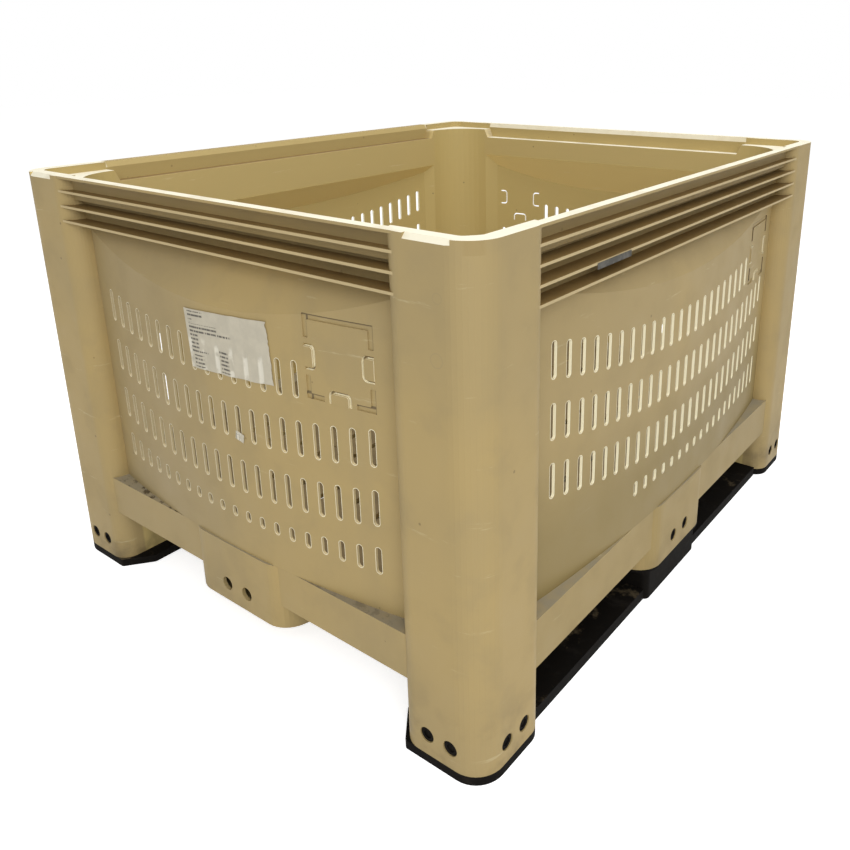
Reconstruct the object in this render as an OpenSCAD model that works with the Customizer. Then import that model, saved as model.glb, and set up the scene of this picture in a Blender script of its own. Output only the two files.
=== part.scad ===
// Ventilated fruit bin: corner posts, ribbed top rails, bowed vented walls, sills, feet,
// a slotted floor, two black runners, a paper label and a small tag.
// The origin is the middle of the footprint on the floor, +Z is up and the front faces -Y.

/* [Overall] */
// Outside width, left to right
bin_w = 1016; // [900:1:1200]
// Outside length, front to rear
bin_d = 1219; // [1100:1:1400]
// Height from the floor to the top of the rim
bin_h = 756; // [700:1:900]
// Wall thickness of the moulding
wall_t = 6; // [4:0.5:8]
// Depth of the wall zone, from the outer face to the inside of the top rail
wall_zone = 50; // [46:1:58]

/* [Corner posts] */
// Width of a post along each wall
post_w = 148; // [136:1:170]
// Radius of the outer corner
corner_r = 46; // [36:1:56]
// Radius where the face of a post or foot turns back
flank_r = 32; // [22:1:40]
// Drop from the rim to the stacking seat on top of a post
seat_drop = 14; // [11:0.5:20]
// How deep the rim is let into a post's top
rim_root = 3; // [2:0.5:4]
// Width of the lead-in notch in the top edge of a post
notch_w = 70; // [40:1:75]
// Distance from the corner to the lead-in notch
notch_from_corner = 38; // [36:1:46]
// Height of the lead-in notch
notch_h = 7; // [4:0.5:10]
// Depth of the lead-in notch
notch_deep = 6; // [4:0.5:14]
// Straight land at each end of a post's inner curve
inner_land = 6; // [3:0.5:10]

/* [Top rail] */
// Width of the rim
rim_w = 24; // [18:1:30]
// Thickness of the rim's top plate
rim_t = 4; // [3:0.5:6]
// How far the rim's top plate stands back from the post faces
rim_inset = 1.5; // [0.5:0.5:4]
// Height of the chamfer on the rim's inner edge
rim_chamfer = 10; // [5:0.5:14]
// Drop from the rim to the first rib's top
first_rib_drop = 23.5; // [20:0.5:30]
// Pitch of the ribs
rib_pitch = 25.6; // [22:0.1:30]
// Thickness of a rib
rib_t = 4; // [3:0.5:6]
// Depth of the grooves under the first rib, from the post faces
groove_back = 31; // [26:1:36]
// How far the ribs stand back from the post faces
rib_inset = 1.5; // [1.5:0.5:4]
// Ribs on the front and rear rails
end_ribs = 3; // [2:1:3]
// Ribs on the left and right rails
side_ribs = 4; // [3:1:5]
// Drop from the rim to the inner ledge
ledge_drop = 35; // [30:1:40]
// Length of the ramp from the inner ledge up to a post's seat
ramp_l = 10; // [8:1:30]
// How far ribs and sills run on along a post's rounded flank
rib_trim = 8; // [4:0.5:12]

/* [Wall panels] */
// How far a panel stands back at the middle of its bow
bow_crown = 4; // [2:0.5:6]
// How far a panel stands back at its ends
bow_recess = 36; // [28:1:40]
// Thickness of a panel at the middle of its bow
panel_t = 4; // [3:0.5:6]
// Length of the ramp behind each end of a panel, towards the post
end_ramp_l = 100; // [80:1:120]
// Width of the flush land that the ramp ends on beside the post
end_land = 3; // [2:0.5:6]
// Height of the flush land at the top of a panel's inside
top_land = 3; // [2:0.5:6]
// Drop from the rim to the lowest point of the sloped top of a panel
slope_drop = 158; // [140:1:190]
// Lean of the sloped top from upright, in degrees
slope_lean = 26; // [20:1:32]

/* [Vent slots] */
// Width of a slot
slot_w = 10; // [6:0.5:12]
// Length of a slot
slot_l = 55; // [40:1:60]
// Pitch of the slot columns
slot_pitch = 32.4; // [28:0.1:34]
// Least land between a panel's end and its first slot
slot_land = 45; // [40:1:80]
// Drop from the rim to the upper slot row at the middle of a panel
row_drop = 245; // [235:1:260]
// Least land between the bottom slots and the full rows
row_land = 20; // [10:1:30]
// Pitch of the full slot rows
row_pitch = 91; // [80:1:100]
// Radius of the arc that the slot rows follow
row_arc_r = 1890; // [1500:10:2600]
// Rise from the floor to the short bottom slots
low_slot_rise = 61; // [50:1:70]
// Length of the short bottom slots at the middle of a panel
low_slot_l = 17; // [12:1:24]
// Least land between a slot and the card holder
card_land = 5; // [3:0.5:5]
// Columns left out of the bottom row on the left and right panels
low_skip = 7; // [0:1:10]

/* [Card holder] */
// Width of the card holder
card_w = 117; // [100:1:124]
// Height of the card holder
card_h = 123; // [100:1:130]
// Drop from the rim to the card holder
card_drop = 136; // [130:1:145]
// Gap from the card holder to the post
card_gap = 43; // [40:1:60]
// Width of the groove round the card holder
groove_w = 8; // [4:0.5:10]
// Depth of the groove round the card holder
groove_deep = 2; // [1:0.5:2.5]
// Length of a retaining tab along the edge
tab_l = 31; // [24:1:40]
// How far a retaining tab reaches in over the card
tab_reach = 16; // [12:1:22]
// Radius of a retaining tab's free corners
tab_r = 5; // [3:0.5:7]
// Width of the cut round a retaining tab
tab_cut = 3.5; // [2:0.5:5]
// Land between the cut round a tab and the groove
tab_land = 8.5; // [4:0.5:12]
// How far a retaining tab stands proud of the panel
tab_lift = 1.5; // [1:0.5:3]
// Step from a tab's edge to its raised face
tab_edge = 1; // [0.5:0.5:2]

/* [Sill and feet] */
// Height of the underside of the front and rear sills
end_sill_z = 116; // [108:1:124]
// Height of the underside of the left and right sills
side_sill_z = 108; // [104:1:124]
// Height of the ledge on top of the sill and of the floor
floor_z = 189; // [180:1:200]
// How far the sill stands back from the post faces
sill_inset = 9; // [4:0.5:10]
// How far a middle foot stands back from the post faces
foot_inset = 1.5; // [0.5:0.5:3]
// Width of a middle foot along the wall
foot_w = 250; // [220:1:260]
// Depth of a middle foot
foot_d = 154; // [130:1:170]
// Radius of a middle foot's corners
foot_r = 48; // [36:1:56]
// Height of the underside of the front and rear middle feet
end_foot_z = 74; // [66:1:84]
// Height of the underside of the left and right middle feet
side_foot_z = 66; // [60:1:76]
// Radius of a foot hole
hole_r = 12; // [8:0.5:14]
// Height of the holes above the underside of their foot
hole_rise = 33.5; // [26:0.5:40]
// Distance from the corner to the nearer hole of a post
hole_from_corner = 56; // [48:1:60]
// Spacing of the two holes in a post face
post_hole_pitch = 41; // [34:1:46]
// Spacing of the two holes in a middle foot
foot_hole_pitch = 50; // [40:1:70]

/* [Floor] */
// Thickness of the floor plate
deck_t = 8; // [6:0.5:10]
// Width of a floor slot
deck_slot_w = 12; // [8:1:16]
// Length of a floor slot
deck_slot_l = 62; // [40:1:80]
// Pitch of the floor slots across the bin
deck_pitch_x = 64; // [48:1:90]
// Pitch of the floor slots along the bin
deck_pitch_y = 98; // [80:1:130]
// Thickness of the ribs under the floor
deck_rib_t = 5; // [4:0.5:8]
// Height of the ribs under the floor
deck_rib_h = 52; // [40:1:55]

/* [Runners] */
// Thickness of the pad under a corner post
pad_t = 14.5; // [10:0.5:20]
// Depth of the pad, inwards from the outer face
pad_d = 177; // [160:1:190]
// Width of the slanted nose on a pad's inner corner
nose_w = 38; // [20:1:44]
// Length of the slanted nose along the runner
nose_l = 48; // [30:1:60]
// Radius of the nose's corners
nose_r = 6; // [3:0.5:10]
// Thickness of the bar between the pads
bar_t = 20; // [15:1:30]
// How far the bar stands back from the outer face
bar_inset = 18; // [8:1:30]
// Depth of the bar
bar_d = 140; // [100:1:156]
// Height of the plug that stands up inside a foot
plug_h = 58; // [50:1:70]
// Wall of a plug
plug_t = 8; // [6:0.5:12]
// Clearance between a plug and the foot round it
plug_gap = 0.5; // [0.3:0.1:1]
// Width of the boss under a middle foot
boss_w = 210; // [180:1:216]
// How far the boss stands back from the outer face
boss_inset = 11.5; // [6:0.5:16]
// Radius of the boss's corners
boss_r = 12; // [10:0.5:20]
// Thickness of the flange on the boss that carries the foot
boss_flange_t = 5; // [3:0.5:8]
// Clearance round a locking stud in its hole
stud_gap = 0.5; // [0.3:0.1:1]
// How deep a locking stud sits below the face of its foot
stud_sunk = 1.5; // [0.5:0.5:3]

/* [Label and tag] */
// Width of the paper label
label_w = 191; // [150:1:210]
// Height of the paper label
label_h = 95; // [70:1:110]
// Distance from the middle of the front to the middle of the label
label_x = 41; // [0:1:60]
// Drop from the rim to the middle of the label
label_drop = 214; // [211:1:226]
// Tilt of the label, in degrees
label_tilt = 3.6; // [0:0.2:6]
// Thickness of the paper
label_t = 0.6; // [0.4:0.1:1]
// Gap of paste between the paper and the panel
label_gap = 0.3; // [0.3:0.1:0.5]
// Width of the scrap of paper left in the second slot row
scrap_w = 21; // [10:1:30]
// Height of the scrap of paper
scrap_h = 15; // [8:1:20]
// Distance from the middle of the front to the scrap
scrap_x = 40; // [30:1:60]
// Drop from the rim to the scrap's lower edge
scrap_drop = 366; // [350:1:380]
// Rib of the right rail that carries the tag, counted from the top
tag_rib = 3; // [2:1:3]
// Length of the tag on the right rail
tag_l = 96; // [80:1:120]
// Height of the tag
tag_h = 9; // [5:0.5:10]
// Thickness of the tag
tag_t = 1.2; // [0.6:0.1:1.4]
// Drop from its rib's top to the top of the tag
tag_drop = 1.5; // [1:0.5:2]
// Distance from the middle of the right side to the middle of the tag
tag_from_middle = 296; // [200:1:330]

/* [Hidden] */
// Overrun of every cut
over = 1;
// Straight pieces in each rounded corner
arc_steps = 10;
// Smoothness of circles
$fn = 64;
// Smoothness of the wide circles that the panels bow on
bow_fn = 900;

inner_r = post_w - wall_zone - inner_land;
seat_z = bin_h - seat_drop;
ledge_z = bin_h - ledge_drop;
deck_under = floor_z - deck_t;
rail_end = post_w - flank_r + rib_trim;
post_hole_z = pad_t + hole_rise;
foot_back = foot_inset + foot_d;
foot_half = foot_w / 2;
boss_back = bar_inset + bar_d;
slope_z = bin_h - slope_drop;
row_z = bin_h - row_drop;
card_z = bin_h - card_drop - card_h;
label_z = bin_h - label_drop;
low_slot_z = floor_z + low_slot_rise;

// Torn right edge of the label, as shares of its height and width
torn_shares = [[0.08, 0], [0.14, 0.012], [0.3, 0.004], [0.42, 0.014], [0.55, 0.002],
               [0.66, 0.016], [0.8, 0.006], [0.92, 0.018]];
// Uneven outline of the scrap, as shares of its width and height
scrap_shares = [[0, 0.15], [0.3, 0], [0.75, 0.2], [1, 0.1], [0.9, 0.8], [0.55, 1], [0.2, 0.75]];

tan_colour = [0.72, 0.63, 0.43];
black_colour = [0.05, 0.05, 0.05];
paper_colour = [0.86, 0.85, 0.81];
tag_colour = [0.42, 0.43, 0.45];

// Sides are numbered 0 front, 1 right, 2 rear, 3 left. On a side, x runs to the right as seen
// from outside, y runs inwards from the outer face and z is up.
FRONT = 0;
RIGHT = 1;
REAR = 2;
LEFT = 3;

function is_end(side) = side % 2 == 0;
function side_len(side) = is_end(side) ? bin_w : bin_d;
function side_reach(side) = (is_end(side) ? bin_d : bin_w) / 2;
function panel_half(side) = side_len(side) / 2 - post_w;
function rib_count(side) = is_end(side) ? end_ribs : side_ribs;
function rib_top(i) = bin_h - first_rib_drop - i * rib_pitch;
function rail_low(side) = rib_top(rib_count(side) - 1) - rib_t;
function sill_z(side) = is_end(side) ? end_sill_z : side_sill_z;
function foot_z(side) = is_end(side) ? end_foot_z : side_foot_z;
function foot_hole_z(side) = foot_z(side) + hole_rise;

// Vent slot columns and rows that fit on a panel
function slot_columns(side) =
    floor((2 * (panel_half(side) - slot_land) - slot_w) / slot_pitch) + 1;
function slot_rows() =
    floor((row_z - slot_l / 2 - low_slot_z - low_slot_l - row_land) / row_pitch) + 1;

// Lean of the inside of a panel's sloped top, which ends flush with the rail
function inner_lean(side) = atan2(wall_zone - bow_crown - panel_t, rail_low(side) - top_land - slope_z);

// Radius of a panel's bow, from its half width and its sagitta
function bow_r(side) =
    let (sag = bow_recess - bow_crown)
    (pow(panel_half(side), 2) + pow(sag, 2)) / (2 * sag);

// Rise of a slot row above its middle, on the arc that the rows follow
function row_rise(x) = row_arc_r - sqrt(pow(row_arc_r, 2) - pow(x, 2));

function unit(v) = v / norm(v);

// Points of the arc that rounds corner p between neighbours a and b
function corner_arc(a, p, b, r) =
    let (ua = unit(a - p),
         ub = unit(b - p),
         half = acos(ua * ub) / 2,
         c = p + unit(ua + ub) * r / sin(half),
         s = p + ua * r / tan(half) - c,
         e = p + ub * r / tan(half) - c,
         first = atan2(s.y, s.x),
         turn = atan2(cross(s, e), s * e))
    [for (i = [0 : arc_steps])
        let (a = first + turn * i / arc_steps)
        c + r * [cos(a), sin(a)]];

// Outline through points [x, y, radius], each corner rounded by its radius
function rounded(path) =
    let (n = len(path))
    [for (i = [0 : n - 1])
        let (a = path[(i + n - 1) % n], p = path[i], b = path[(i + 1) % n])
        each p.z == 0
            ? [[p.x, p.y]]
            : corner_arc([a.x, a.y], [p.x, p.y], [b.x, b.y], p.z)];

// Outline of a corner leg, inset by the given distance
function leg_path(inset) = rounded([
    [inset, inset, corner_r - inset],
    [post_w - inset, inset, flank_r - inset],
    [post_w - inset, post_w - inset, corner_r - inset],
    [inset, post_w - inset, flank_r - inset]]);

// Outline of a post above the floor, hollowed towards the inside of the bin
function column_path(inset) = rounded([
    [inset, inset, corner_r - inset],
    [post_w - inset, inset, flank_r - inset],
    [post_w - inset, wall_zone - inset, 0],
    [wall_zone - inset, wall_zone - inset, inner_r],
    [wall_zone - inset, post_w - inset, 0],
    [inset, post_w - inset, flank_r - inset]]);

// Outline of a foot of the given half width, between two depths, with rounded corners
function foot_path(half, y0, y1, r) = rounded([[-half, y0, r], [half, y0, r], [half, y1, r], [-half, y1, r]]);

module slab(z0, z1) {
    translate([0, 0, z0]) linear_extrude(height = z1 - z0) children();
}

// Stands a flat x-z outline up and extrudes it inwards between two depths
module through(y0, y1) {
    translate([0, y1, 0]) rotate([90, 0, 0]) linear_extrude(height = y1 - y0) children();
}

// Extrudes a y-z section along x between two places
module along(x0, x1) {
    translate([x0, 0, 0]) rotate([90, 0, 90]) linear_extrude(height = x1 - x0) children();
}

module on_side(side) {
    rotate([0, 0, 90 * side]) translate([0, -side_reach(side), 0]) children();
}

// Corner at the right end of a side: x runs back along the side, y inwards
module at_corner(side) {
    on_side(side) translate([side_len(side) / 2, 0, 0]) mirror([1, 0, 0]) children();
}

module stadium(x, z0, z1, w) {
    translate([x - w / 2, z0 + w / 2]) square([w, z1 - z0 - w]);
    for (z = [z0 + w / 2, z1 - w / 2]) translate([x, z]) circle(d = w);
}

// Both corner legs that bound a side, for cutting what meets them
module side_legs(side, z0, z1) {
    for (m = [0, 1])
        mirror([m, 0, 0])
            translate([side_len(side) / 2, 0, 0])
                mirror([1, 0, 0])
                    slab(z0, z1) polygon(leg_path(0));
}

// The pair of holes in each of a post's two faces
module post_hole_pairs(r, from, to) {
    for (i = [0, 1]) {
        along_face = hole_from_corner + i * post_hole_pitch;
        translate([along_face, from, post_hole_z]) rotate([-90, 0, 0]) cylinder(r = r, h = to - from);
        translate([from, along_face, post_hole_z]) rotate([0, 90, 0]) cylinder(r = r, h = to - from);
    }
}

// The pair of holes in a middle foot
module foot_hole_pair(side, r, from, to) {
    for (m = [-1, 1])
        translate([m * foot_hole_pitch / 2, from, foot_hole_z(side)])
            rotate([-90, 0, 0]) cylinder(r = r, h = to - from);
}

// Lead-in notch in a post's top edge
module lead_in() {
    along(notch_from_corner, notch_from_corner + notch_w)
        polygon([[-over, bin_h - notch_h], [0, bin_h - notch_h], [notch_deep, bin_h],
                 [notch_deep, bin_h + over], [-over, bin_h + over]]);
}

// Outline of the rim round a post's stacking seat
module rim_outline() {
    difference() {
        polygon(column_path(0));
        polygon(rounded([
            [rim_w, rim_w, corner_r - rim_w],
            [post_w + over, rim_w, 0],
            [post_w + over, post_w + over, 0],
            [rim_w, post_w + over, 0]]));
    }
}

module post(side) {
    color(tan_colour)
        at_corner(side)
            difference() {
                union() {
                    slab(pad_t, deck_under) polygon(leg_path(0));
                    slab(deck_under, seat_z) polygon(column_path(0));
                }
                slab(pad_t - over, deck_under - wall_t) polygon(leg_path(wall_t));
                slab(pad_t, seat_z - wall_t) polygon(column_path(wall_t));
                slab(seat_z - rim_root, seat_z + over) rim_outline();
                post_hole_pairs(hole_r, -over, wall_t + over);
            }
}

// Rim round a post's stacking seat
module rim_corner(side) {
    color(tan_colour)
        at_corner(side)
            difference() {
                slab(seat_z - rim_root, bin_h) rim_outline();
                if (is_end(side)) lead_in();
                else mirror([1, -1, 0]) lead_in();
            }
}

// Section of a rim: top plate, inner leg and the first rib
module rim_section() {
    top = rib_top(0);
    leg = rim_w - wall_t;
    polygon([[rim_inset, bin_h - rim_t], [rim_inset, bin_h], [leg, bin_h], [rim_w, bin_h - rim_chamfer],
             [rim_w, ledge_z], [leg, ledge_z], [leg, top - rib_t], [rib_inset, top - rib_t],
             [rib_inset, top], [leg, top], [leg, bin_h - rim_t]]);
}

module rim(side) {
    rail_half = side_len(side) / 2 - rail_end;
    color(tan_colour)
        on_side(side)
            difference() {
                along(-rail_half, rail_half) rim_section();
                side_legs(side, ledge_z - over, bin_h + over);
            }
}

// Section of a top rail: inner ledge, outer and inner webs, and the ribs, the last one over the panel
module rail_section(side) {
    low = rail_low(side);
    translate([rim_w - wall_t, ledge_z - wall_t]) square([wall_zone - rim_w + wall_t, wall_t]);
    for (y = [groove_back, wall_zone - wall_t]) translate([y, low]) square([wall_t, ledge_z - low]);
    for (i = [1 : rib_count(side) - 1])
        translate([rib_inset, rib_top(i) - rib_t]) square([wall_zone - rib_inset, rib_t]);
}

// Ramps that lift the inner ledge to the seats of the two posts
module ledge_ramps(side) {
    for (m = [0, 1])
        mirror([m, 0, 0])
            through(rim_w, wall_zone)
                polygon([[panel_half(side) - ramp_l, ledge_z], [panel_half(side), ledge_z],
                         [panel_half(side), seat_z]]);
}

module top_rail(side) {
    rail_half = side_len(side) / 2 - rail_end;
    color(tan_colour)
        on_side(side) {
            difference() {
                along(-rail_half, rail_half) rail_section(side);
                side_legs(side, rail_low(side) - over, bin_h + over);
            }
            ledge_ramps(side);
        }
}

// Everything inside a panel's bow, set back by the given amount
module bow_prism(side, back, z0, z1) {
    r = bow_r(side);
    slab(z0, z1)
        intersection() {
            translate([0, bow_crown + r]) circle(r = r - back, $fn = bow_fn);
            translate([-panel_half(side), -wall_zone]) square([2 * panel_half(side), 2 * wall_zone]);
        }
}

// Skin that follows a panel's bow, from the given height above it to the given depth in it
module bow_skin(side, lift, back, z0, z1) {
    r = bow_r(side);
    slab(z0, z1)
        translate([0, bow_crown + r])
            difference() {
                circle(r = r + lift, $fn = bow_fn);
                circle(r = r - back, $fn = bow_fn);
            }
}

// Everything behind a plane through the foot of a panel's sloped top, at the given depth and lean
module behind_slope(side, depth, lean) {
    translate([0, depth, slope_z])
        rotate([-lean, 0, 0])
            translate([-panel_half(side), 0, -bin_h])
                cube([2 * panel_half(side), bin_h, 2 * bin_h]);
}

// Outer form of a panel, set back by the given amount
module panel_form(side, back, z0, z1) {
    intersection() {
        bow_prism(side, back, z0, z1);
        behind_slope(side, bow_crown + back, slope_lean);
    }
}

// Room inside a panel, with a ramp at each end that leads to the post's inner face
module panel_room(side, z0, z1) {
    half = panel_half(side);
    difference() {
        intersection() {
            bow_prism(side, panel_t, z0, z1);
            behind_slope(side, bow_crown + panel_t, inner_lean(side));
        }
        for (m = [0, 1])
            mirror([m, 0, 0])
                slab(z0 - over, z1 + over)
                    polygon([[half + over, -over], [half + over, wall_zone + over],
                             [half - end_land, wall_zone + over], [half - end_land, wall_zone],
                             [half - end_ramp_l, -over]]);
    }
}

// Outline of all vent slots on a panel
module vent_slots(side) {
    columns = slot_columns(side);
    skip = is_end(side) ? 0 : low_skip;
    card_left = panel_half(side) - card_gap - card_w;
    for (c = [0 : columns - 1]) {
        x = (c - (columns - 1) / 2) * slot_pitch;
        beside = x + slot_w / 2 + card_land < card_left;
        for (row = [0 : slot_rows() - 1]) {
            z = row_z - row * row_pitch + row_rise(x);
            below = z + slot_l / 2 + card_land < card_z;
            if (beside || below) stadium(x, z - slot_l / 2, z + slot_l / 2, slot_w);
        }
        if (c >= skip) stadium(x, low_slot_z, low_slot_z + low_slot_l + row_rise(x), slot_w);
    }
}

// Places its children at the lower left corner of a side's card holder
module at_card(side) {
    translate([panel_half(side) - card_gap - card_w, card_z]) children();
}

// Tab that reaches along x from its root, with round free corners
module tab_shape(reach, l, r) {
    square([reach - r, l]);
    translate([0, r]) square([reach, l - 2 * r]);
    for (y = [r, l - r]) translate([reach - r, y]) circle(r = r);
}

// Outlines of the three retaining tabs, grown on their free edges
module tab_outlines(grow) {
    reach = tab_reach + grow;
    l = tab_l + 2 * grow;
    r = tab_r + grow;
    translate([0, (card_h - l) / 2]) tab_shape(reach, l, r);
    translate([card_w, (card_h - l) / 2]) mirror([1, 0]) tab_shape(reach, l, r);
    translate([(card_w + l) / 2, 0]) rotate(90) tab_shape(reach, l, r);
}

// Groove round the card holder, with a gap at each tab
module card_groove() {
    gap = tab_l + 2 * (tab_cut + tab_land);
    difference() {
        square([card_w, card_h]);
        translate([groove_w, groove_w]) square([card_w - 2 * groove_w, card_h - 2 * groove_w]);
        translate([-over, (card_h - gap) / 2]) square([card_w + 2 * over, gap]);
        translate([(card_w - gap) / 2, -over]) square([gap, groove_w + 2 * over]);
    }
}

module tab_cuts() {
    difference() {
        tab_outlines(tab_cut);
        tab_outlines(0);
    }
}

module wall_panel(side) {
    low = floor_z;
    high = rail_low(side);
    color(tan_colour)
        on_side(side) {
            difference() {
                panel_form(side, 0, low, high);
                panel_room(side, low - over, high + over);
                through(-over, wall_zone + over) {
                    vent_slots(side);
                    at_card(side) tab_cuts();
                }
                difference() {
                    through(-over, wall_zone) at_card(side) card_groove();
                    panel_form(side, groove_deep, low - over, high + over);
                }
            }
            intersection() {
                bow_skin(side, tab_lift, panel_t / 2, card_z - over, card_z + card_h);
                through(-wall_zone, wall_zone) at_card(side) tab_outlines(-tab_edge);
            }
        }
}

// Half of a sill, an open channel between a post and the middle foot
module sill(side, m) {
    color(tan_colour)
        on_side(side)
            mirror([m < 0 ? 1 : 0, 0, 0])
                difference() {
                    slab(sill_z(side), floor_z)
                        translate([0, sill_inset])
                            square([side_len(side) / 2 - rail_end, wall_zone - sill_inset]);
                    slab(sill_z(side) - over, floor_z - wall_t)
                        translate([-over, sill_inset + wall_t])
                            square([side_len(side) / 2, wall_zone - sill_inset - 2 * wall_t]);
                    side_legs(side, sill_z(side) - over, floor_z + over);
                    slab(sill_z(side) - over, floor_z + over)
                        polygon(foot_path(foot_half, foot_inset, foot_back, foot_r));
                }
}

// Hollow middle foot, closed below on the front and rear and open for the runner's plug on the sides
module mid_foot(side) {
    z = foot_z(side);
    hollow_z = is_end(side) ? z + wall_t : z - over;
    color(tan_colour)
        on_side(side) {
            difference() {
                slab(z, deck_under) polygon(foot_path(foot_half, foot_inset, foot_back, foot_r));
                slab(hollow_z, deck_under - wall_t)
                    polygon(foot_path(foot_half - wall_t, foot_inset + wall_t, foot_back - wall_t,
                                      foot_r - wall_t));
                foot_hole_pair(side, hole_r, -over, foot_inset + wall_t + over);
            }
            slab(deck_under, floor_z)
                intersection() {
                    polygon(foot_path(foot_half, foot_inset, foot_back, foot_r));
                    translate([-foot_half, 0]) square([foot_w, wall_zone]);
                }
        }
}

// Inside outline of the bin at the floor
module floor_outline() {
    half_x = bin_w / 2 - wall_zone;
    half_y = bin_d / 2 - wall_zone;
    polygon(rounded([[-half_x, -half_y, inner_r], [half_x, -half_y, inner_r],
                     [half_x, half_y, inner_r], [-half_x, half_y, inner_r]]));
}

module floor_deck() {
    columns = floor((bin_w - 2 * post_w) / deck_pitch_x);
    rows = floor((bin_d - 2 * post_w) / deck_pitch_y);
    color(tan_colour)
        difference() {
            slab(deck_under, floor_z) floor_outline();
            slab(deck_under - over, floor_z + over)
                for (i = [0 : columns - 1], j = [0 : rows - 1])
                    translate([(i - (columns - 1) / 2) * deck_pitch_x - deck_slot_w / 2,
                               (j - (rows - 1) / 2) * deck_pitch_y - deck_slot_l / 2])
                        square([deck_slot_w, deck_slot_l]);
        }
}

// Crossed ribs under the floor, between the feet
module floor_ribs() {
    half_x = bin_w / 2 - wall_zone;
    half_y = bin_d / 2 - wall_zone;
    columns = floor((bin_w - 2 * post_w) / deck_pitch_x);
    rows = floor((bin_d - 2 * post_w) / deck_pitch_y);
    color(tan_colour)
        difference() {
            slab(deck_under - deck_rib_h, deck_under) {
                for (i = [0 : 2 : columns])
                    translate([(i - columns / 2) * deck_pitch_x - deck_rib_t / 2, -half_y])
                        square([deck_rib_t, 2 * half_y]);
                for (j = [0 : rows])
                    translate([-half_x, (j - rows / 2) * deck_pitch_y - deck_rib_t / 2])
                        square([2 * half_x, deck_rib_t]);
            }
            for (side = [FRONT : LEFT]) {
                at_corner(side) slab(deck_under - deck_rib_h - over, floor_z) polygon(leg_path(0));
                on_side(side)
                    slab(deck_under - deck_rib_h - over, floor_z)
                        polygon(foot_path(foot_half, foot_inset, foot_back, foot_r));
            }
        }
}

// Upstand inside a corner leg
module leg_plug() {
    slab(pad_t, pad_t + plug_h)
        difference() {
            polygon(leg_path(wall_t + plug_gap));
            polygon(leg_path(wall_t + plug_gap + plug_t));
        }
}

// Pad and plug at one end of a runner; x runs along the runner, y inwards
module runner_end() {
    slab(0, pad_t)
        polygon(rounded([[0, 0, corner_r], [post_w, 0, flank_r], [post_w, pad_d, flank_r],
                         [nose_l, pad_d, nose_r], [0, pad_d - nose_w, nose_r]]));
    leg_plug();
}

// Outline of the boss under a middle foot, inset by the given distance
function boss_path(inset) =
    foot_path(boss_w / 2 - inset, boss_inset + inset, boss_back - inset, boss_r - inset);

// Hollow boss under a middle foot, with the flange that carries the foot and the plug inside it
module runner_boss(side) {
    z = foot_z(side);
    rim = wall_t + plug_gap;
    difference() {
        union() {
            slab(0, z) polygon(boss_path(0));
            slab(z - boss_flange_t, z) polygon(foot_path(foot_half, foot_inset, foot_back, foot_r));
        }
        slab(-over, z - plug_t - boss_flange_t) polygon(boss_path(plug_t));
    }
    slab(z, z + plug_h)
        difference() {
            polygon(foot_path(foot_half - rim, foot_inset + rim, foot_back - rim, foot_r - rim));
            polygon(foot_path(foot_half - rim - plug_t, foot_inset + rim + plug_t, foot_back - rim - plug_t,
                              foot_r - rim - plug_t));
        }
}

module runner(side) {
    half = side_len(side) / 2;
    color(black_colour)
        on_side(side) {
            for (m = [0, 1])
                mirror([m, 0, 0]) {
                    translate([half, 0, 0]) mirror([1, 0, 0]) runner_end();
                    slab(0, bar_t)
                        difference() {
                            translate([0, bar_inset]) square([half - post_w, bar_d]);
                            polygon(boss_path(0));
                        }
                }
            runner_boss(side);
        }
}

// Locking studs of one runner, seen in the foot holes
module runner_studs(side) {
    r = hole_r - stud_gap;
    color(black_colour)
        on_side(side) {
            for (m = [0, 1])
                mirror([m, 0, 0])
                    translate([side_len(side) / 2, 0, 0])
                        mirror([1, 0, 0])
                            post_hole_pairs(r, stud_sunk, wall_t + plug_gap);
            foot_hole_pair(side, r, foot_inset + stud_sunk, foot_inset + wall_t + plug_gap);
        }
}

// Outline of the label with its torn right edge
module label_outline() {
    translate([label_x, label_z])
        rotate(label_tilt)
            translate([-label_w / 2, -label_h / 2])
                polygon(concat([[0, 0]],
                               [for (s = torn_shares) [label_w * (1 - s.y), label_h * s.x]],
                               [[label_w, label_h], [0, label_h]]));
}

// Outline of the scrap of paper over one slot
module scrap_outline() {
    translate([scrap_x, bin_h - scrap_drop])
        polygon([for (s = scrap_shares) [scrap_w * s.x, scrap_h * s.y]]);
}

module paper_label() {
    color(paper_colour)
        on_side(FRONT)
            intersection() {
                bow_skin(FRONT, label_gap + label_t, -label_gap, floor_z, slope_z);
                through(-wall_zone, wall_zone) {
                    label_outline();
                    scrap_outline();
                }
            }
}

module rib_tag() {
    low = rib_top(tag_rib - 1) - tag_drop - tag_h;
    color(tag_colour)
        on_side(RIGHT)
            translate([-tag_from_middle - tag_l / 2, rib_inset - tag_t, low])
                cube([tag_l, tag_t, tag_h]);
}

post(FRONT);  // post_front_right
post(RIGHT);  // post_rear_right
post(REAR);  // post_rear_left
post(LEFT);  // post_front_left
rim_corner(FRONT);  // rim_corner_front_right
rim_corner(RIGHT);  // rim_corner_rear_right
rim_corner(REAR);  // rim_corner_rear_left
rim_corner(LEFT);  // rim_corner_front_left
rim(FRONT);  // rim_front
rim(RIGHT);  // rim_right
rim(REAR);  // rim_rear
rim(LEFT);  // rim_left
top_rail(FRONT);  // top_rail_front
top_rail(RIGHT);  // top_rail_right
top_rail(REAR);  // top_rail_rear
top_rail(LEFT);  // top_rail_left
wall_panel(FRONT);  // wall_panel_front
wall_panel(RIGHT);  // wall_panel_right
wall_panel(REAR);  // wall_panel_rear
wall_panel(LEFT);  // wall_panel_left
sill(FRONT, -1);  // sill_front_left
sill(FRONT, 1);  // sill_front_right
sill(RIGHT, -1);  // sill_right_front
sill(RIGHT, 1);  // sill_right_rear
sill(REAR, -1);  // sill_rear_right
sill(REAR, 1);  // sill_rear_left
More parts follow.
